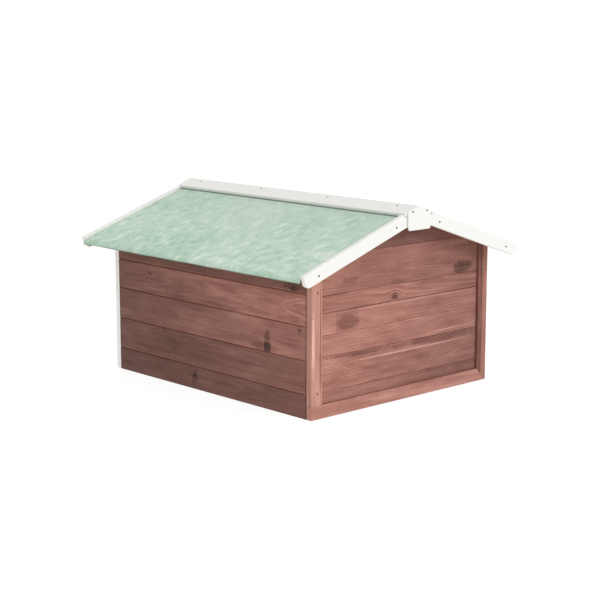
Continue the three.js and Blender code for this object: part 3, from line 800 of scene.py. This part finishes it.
# ---------------------------------------------------------------------------
# Barge boards, ridge caps and plaques. White painted pine: a pair of barge boards closes each end of
# the roof, two cap boards cover the ridge between them, and a plaque hides the joint at the apex.
# ---------------------------------------------------------------------------

CAP_ARRIS = 2.2
PLAQUE_ARRIS = 1.5

for end in ("back", "front"):
    for side, sign in (("right", 1.0), ("left", -1.0)):
        name = f"barge_board_{end}_{side}"
        seed = 210.0 + sign * 5.0 + (0.0 if end == "back" else 17.0)
        dress(name, white_paint(f"painted_{name}", name, ALONG_X, ALONG_Z, -sign * PITCH, seed), 0.9)
    name = f"ridge_plaque_{end}"
    dress(name, white_paint(f"painted_{name}", name, ALONG_X, ALONG_Z, 0.0, 240.0), PLAQUE_ARRIS)
for side, sign in (("right", 1.0), ("left", -1.0)):
    name = f"ridge_cap_{side}"
    dress(name, white_paint(
        f"painted_{name}", name, ALONG_Y, ALONG_X, -sign * PITCH, 250.0 + sign * 6.0), CAP_ARRIS)

# ---------------------------------------------------------------------------
# Roof nails. Plain wire nails with small flat heads, left dark, through the barge boards, the plaques
# and the caps.
# ---------------------------------------------------------------------------

NAIL_RADIUS = 0.0026
BARGE_NAILS = ((0.077, 0.445), (0.335, 0.357))
PLAQUE_NAIL = (0.025, 0.479)
CAP_NAIL_OFFSET = 0.013
CAP_NAIL_LEVELS = (-0.382, -0.126, 0.132, 0.379)

finish = Finish("nail_steel")
rust = finish.noise((2.4, 2.4, 2.4), 3.0, 3.0)
colour = rust.ease(-0.1, 0.3).mix((0.040, 0.037, 0.034, 1.0), (0.080, 0.048, 0.032, 1.0))
nail_steel = finish.close(colour, 0.6 + rust * 0.3, rust, 0.1, 0.4, 0.4, gloss=0.3)
nail_head = domed_head("nail_head", NAIL_RADIUS, 0.0005, 12)
nail_tree, nail_socket = fixings_tree("nails", nail_steel)

barge_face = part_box("barge_board_back_right")[1].y
plaque_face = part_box("ridge_plaque_back")[1].y
cap_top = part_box("ridge_cap_right")[1].z
roof_nails = []
for sign in (-1.0, 1.0):
    for x, z in BARGE_NAILS:
        roof_nails += [((sign * x, end * barge_face, z), (0.0, end, 0.0)) for end in (-1.0, 1.0)]
    x, z = PLAQUE_NAIL
    roof_nails += [((sign * x, end * plaque_face, z), (0.0, end, 0.0)) for end in (-1.0, 1.0)]
    slope_out = (sign * math.sin(PITCH), 0.0, math.cos(PITCH))
    for y in CAP_NAIL_LEVELS:
        height = cap_top - math.tan(PITCH) * CAP_NAIL_OFFSET
        roof_nails.append(((sign * CAP_NAIL_OFFSET, y, height), slope_out))
fixings("roof_nails", roof_nails, nail_head, nail_tree, nail_socket, "roof_lid")

# ---------------------------------------------------------------------------
# Lid hinge and stay. A long folded-steel hinge joins the roof's left slope to the left wall, and a
# flat steel stay swings from a bracket under the roof to a peg on the back wall. All zinc plated.
# ---------------------------------------------------------------------------

METAL_ARRIS = 0.15
LID_METALWORK = (
    "lid_hinge_wall_leaf", "lid_hinge_roof_leaf", "lid_stay_arm", "lid_stay_bracket", "lid_stay_peg",
)
LEAF_SCREW_FIRST, LEAF_SCREW_STEP, LEAF_SCREW_COUNT = -0.325, 0.130, 6
LEAF_SCREW_LIFT = 0.006
WALL_LEAF_BACK, WALL_LEAF_THICK = -0.3176, 0.0012
PEG_PLATE_THICK = 0.003
PEG_SCREW_OFFSET, PEG_SCREW_LIFT = 0.008, 0.005
SMALL_HEAD_RADIUS, SMALL_HEAD_RISE, SMALL_HEAD_RECESS = 0.0024, 0.0008, 0.0014

hinge_zinc = zinc("hinge_zinc")
for name in LID_METALWORK:
    dress(name, hinge_zinc, METAL_ARRIS)

wall_leaf_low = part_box("lid_hinge_wall_leaf")[0]
wall_leaf_face = WALL_LEAF_BACK - WALL_LEAF_THICK
lid_screws = []
for i in range(LEAF_SCREW_COUNT):
    y = LEAF_SCREW_FIRST + LEAF_SCREW_STEP * i
    lid_screws.append(((wall_leaf_face, y, wall_leaf_low.z + LEAF_SCREW_LIFT), (-1.0, 0.0, 0.0)))
peg_low, peg_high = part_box("lid_stay_peg")
peg_middle = (peg_low.x + peg_high.x) / 2
peg_plate_face = peg_high.y - PEG_PLATE_THICK
for dx in (-PEG_SCREW_OFFSET, PEG_SCREW_OFFSET):
    lid_screws.append(((peg_middle + dx, peg_plate_face, peg_low.z + PEG_SCREW_LIFT), (0.0, -1.0, 0.0)))
small_head = domed_head("small_screw_head", SMALL_HEAD_RADIUS, SMALL_HEAD_RISE, 12, SMALL_HEAD_RECESS)
fixings("hinge_screws", lid_screws, small_head, screw_tree, screw_socket, "house")

# ---------------------------------------------------------------------------
# Door. A white painted frame holds welded wire mesh; it hangs on two zinc butt hinges and is held
# shut by a painted turn button on the left post. The knob is turned wood, painted with it.
# ---------------------------------------------------------------------------

DOOR_FRAME = {
    "door_stile_right": (ALONG_Z, ALONG_X),
    "door_stile_left": (ALONG_Z, ALONG_X),
    "door_rail_bottom": (ALONG_X, ALONG_Z),
    "door_rail_top": (ALONG_X, ALONG_Z),
}
for index, (name, (along, across)) in enumerate(DOOR_FRAME.items()):
    dress(name, white_paint(f"painted_{name}", name, along, across, 0.0, 270.0 + index * 4.0), 0.9)
for level in ("lower", "upper"):
    for leaf in ("post", "door"):
        dress(f"door_hinge_{leaf}_leaf_{level}", hinge_zinc, METAL_ARRIS)
dress("door_knob", white_paint("painted_door_knob", "door_knob", ALONG_Y, ALONG_Z, 0.0, 290.0), 0.3)
for polygon in nodes["door_knob"].data.polygons:
    polygon.use_smooth = True
dress("door_turn_button", white_paint(
    "painted_door_turn_button", "door_turn_button", ALONG_Z, ALONG_X, 0.0, 296.0), 0.8)

MESH_PITCH = 0.025
WIRE_RADIUS = 0.0009
LET_IN = 0.004


def wire_row(tree, entry, start, end, first, step, count, radius):
    """Adds a row of like round wires to a tree and returns the node that gives them."""
    add, link = tree.nodes.new, tree.links.new
    points = add("GeometryNodeMeshLine")
    wire = add("GeometryNodeCurvePrimitiveLine")
    stand = add("GeometryNodeInstanceOnPoints")
    realize = add("GeometryNodeRealizeInstances")
    section = add("GeometryNodeCurvePrimitiveCircle")
    section.inputs["Resolution"].default_value = 8
    tube = add("GeometryNodeCurveToMesh")
    tube.inputs["Fill Caps"].default_value = True
    link(entry.outputs[first], points.inputs["Start Location"])
    link(entry.outputs[step], points.inputs["Offset"])
    link(entry.outputs[count], points.inputs["Count"])
    link(entry.outputs[start], wire.inputs["Start"])
    link(entry.outputs[end], wire.inputs["End"])
    link(points.outputs[0], stand.inputs["Points"])
    link(wire.outputs[0], stand.inputs["Instance"])
    link(stand.outputs[0], realize.inputs[0])
    link(entry.outputs[radius], section.inputs["Radius"])
    link(realize.outputs[0], tube.inputs["Curve"])
    link(section.outputs[0], tube.inputs["Profile Curve"])
    return tube


mesh_low, mesh_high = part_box("door_mesh")
columns = round((mesh_high.x - mesh_low.x) / MESH_PITCH)
crossings = round((mesh_high.z - mesh_low.z) / MESH_PITCH)
column_step = (mesh_high.x - mesh_low.x - 2 * WIRE_RADIUS) / columns
crossing_step = (mesh_high.z - mesh_low.z - 2 * WIRE_RADIUS) / crossings
mesh_middle = (mesh_low.y + mesh_high.y) / 2
weld_offset = WIRE_RADIUS * 0.8
mesh_sizes = {
    "Upright Start": (0.0, 0.0, mesh_low.z - LET_IN),
    "Upright End": (0.0, 0.0, mesh_high.z + LET_IN),
    "First Upright": (mesh_low.x + WIRE_RADIUS, mesh_middle - weld_offset, 0.0),
    "Upright Step": (column_step, 0.0, 0.0),
    "Uprights": columns + 1,
    "Crossing Start": (mesh_low.x - LET_IN, 0.0, 0.0),
    "Crossing End": (mesh_high.x + LET_IN, 0.0, 0.0),
    "First Crossing": (0.0, mesh_middle + weld_offset, mesh_low.z + WIRE_RADIUS),
    "Crossing Step": (0.0, 0.0, crossing_step),
    "Crossings": crossings + 1,
    "Wire Radius": WIRE_RADIUS,
}
mesh_tree = bpy.data.node_groups.new("welded_mesh", "GeometryNodeTree")
mesh_sockets = {}
for name, value in mesh_sizes.items():
    kind = {tuple: "NodeSocketVector", int: "NodeSocketInt", float: "NodeSocketFloat"}[type(value)]
    mesh_sockets[name] = mesh_tree.interface.new_socket(name, in_out="INPUT", socket_type=kind).identifier
mesh_tree.interface.new_socket("Mesh", in_out="OUTPUT", socket_type="NodeSocketGeometry")
entry = mesh_tree.nodes.new("NodeGroupInput")
leave = mesh_tree.nodes.new("NodeGroupOutput")
join = mesh_tree.nodes.new("GeometryNodeJoinGeometry")
coat = mesh_tree.nodes.new("GeometryNodeSetMaterial")
coat.inputs["Material"].default_value = zinc("mesh_zinc", 0.42)
for kind in ("Upright", "Crossing"):
    row = wire_row(mesh_tree, entry, f"{kind} Start", f"{kind} End", f"First {kind}", f"{kind} Step",
                   f"{kind}s", "Wire Radius")
    mesh_tree.links.new(row.outputs[0], join.inputs[0])
mesh_tree.links.new(join.outputs[0], coat.inputs["Geometry"])
mesh_tree.links.new(coat.outputs[0], leave.inputs["Mesh"])
welded_mesh = bpy.data.objects.new("welded_mesh", bpy.data.meshes.new("welded_mesh_start"))
bpy.context.scene.collection.objects.link(welded_mesh)
modifier = welded_mesh.modifiers.new("wires", "NODES")
modifier.node_group = mesh_tree
for name, value in mesh_sizes.items():
    modifier[mesh_sockets[name]] = value
settled(welded_mesh)
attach(welded_mesh, "door")
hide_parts("door_mesh")

HINGE_SCREW_RISE = 0.016
HINGE_SCREW_INSET = 0.007
HINGE_SHEET = 0.0015
post_screws, door_screws = [], []
for level in ("lower", "upper"):
    for leaf, screws in (("post", post_screws), ("door", door_screws)):
        low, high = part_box(f"door_hinge_{leaf}_leaf_{level}")
        sheet_face = front_face - HINGE_SHEET
        outer = high.x - HINGE_SCREW_INSET if leaf == "post" else low.x + HINGE_SCREW_INSET
        middle = (low.z + high.z) / 2
        for rise in (-HINGE_SCREW_RISE, HINGE_SCREW_RISE):
            screws.append(((outer, sheet_face, middle + rise), (0.0, -1.0, 0.0)))
fixings("post_hinge_screws", post_screws, small_head, screw_tree, screw_socket, "house")
fixings("door_hinge_screws", door_screws, small_head, screw_tree, screw_socket, "door")
button_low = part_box("door_turn_button")[0]
pivot = [joint for joint in frame["joints"] if joint["name"] == "turn_button_pivot"][0]["pos_m"]
fixings("turn_button_screw", [((pivot[0], button_low.y, pivot[2]), (0.0, -1.0, 0.0))],
        screw_head, screw_tree, screw_socket, "turn_button")

# ---------------------------------------------------------------------------
# Studio. A pale floor, an even white surround, a soft key light on the back gable and a wide one
# from above, a little the stronger of the two.
# ---------------------------------------------------------------------------

scene = bpy.context.scene
scene.view_settings.view_transform = "Standard"

FLOOR_REACH = 40.0
FLOOR_DEPTH = 0.0005
FLOOR_GREY = (0.22, 0.22, 0.22, 1.0)
FLOOR_GLOW = 0.86
SURROUND_LIGHT, SURROUND_SEEN = 0.56, 0.46
bpy.ops.mesh.primitive_plane_add(size=2 * FLOOR_REACH, location=(0.0, 0.0, -FLOOR_DEPTH))
floor = bpy.context.object
floor.name = "studio_floor"
material = bpy.data.materials.new("studio_floor")
material.use_nodes = True
shader = material.node_tree.nodes["Principled BSDF"]
shader.inputs["Base Color"].default_value = FLOOR_GREY
shader.inputs["Roughness"].default_value = 1.0
shader.inputs["Specular IOR Level"].default_value = 0.0
shader.inputs["Emission Color"].default_value = (1.0, 1.0, 1.0, 1.0)
shader.inputs["Emission Strength"].default_value = FLOOR_GLOW
floor.data.materials.append(material)

world = bpy.data.worlds.new("studio")
world.use_nodes = True
scene.world = world
tree = world.node_tree
tree.nodes.clear()
surround = Socket(tree)
ray = surround.node("ShaderNodeLightPath", output="Is Camera Ray")
strength = SURROUND_LIGHT + ray * SURROUND_SEEN
glow = surround.node("ShaderNodeBackground", {"Color": (1.0, 1.0, 1.0, 1.0), "Strength": strength})
tree.links.new(glow.output, tree.nodes.new("ShaderNodeOutputWorld").inputs["Surface"])


def soft_sun(name, direction, strength, spread):
    """A distant light that shines from a direction, its disc so many degrees wide."""
    light = bpy.data.lights.new(name, "SUN")
    light.energy = strength
    light.angle = math.radians(spread)
    lamp = bpy.data.objects.new(name, light)
    lamp.rotation_mode = "QUATERNION"
    lamp.rotation_quaternion = Vector(direction).to_track_quat("Z", "Y")
    scene.collection.objects.link(lamp)


soft_sun("key", (-0.42, 0.80, 0.43), 0.94, 16.0)
soft_sun("top", (0.20, 0.20, 1.0), 1.12, 70.0)

camera = bpy.data.objects.new("camera", bpy.data.cameras.new("camera"))
scene.collection.objects.link(camera)
CAMERA_YAW, CAMERA_DROP = math.radians(42.909), math.radians(10.577)
sight = Vector((
    -math.sin(CAMERA_YAW) * math.cos(CAMERA_DROP),
    -math.cos(CAMERA_YAW) * math.cos(CAMERA_DROP),
    -math.sin(CAMERA_DROP),
))
camera.location = (2.7124, 2.9324, 0.9446)
camera.rotation_mode = "QUATERNION"
camera.rotation_quaternion = sight.to_track_quat("-Z", "Y")
camera.data.sensor_width = 36.0
camera.data.lens = 91.25
camera.data.clip_end = 200.0
scene.camera = camera
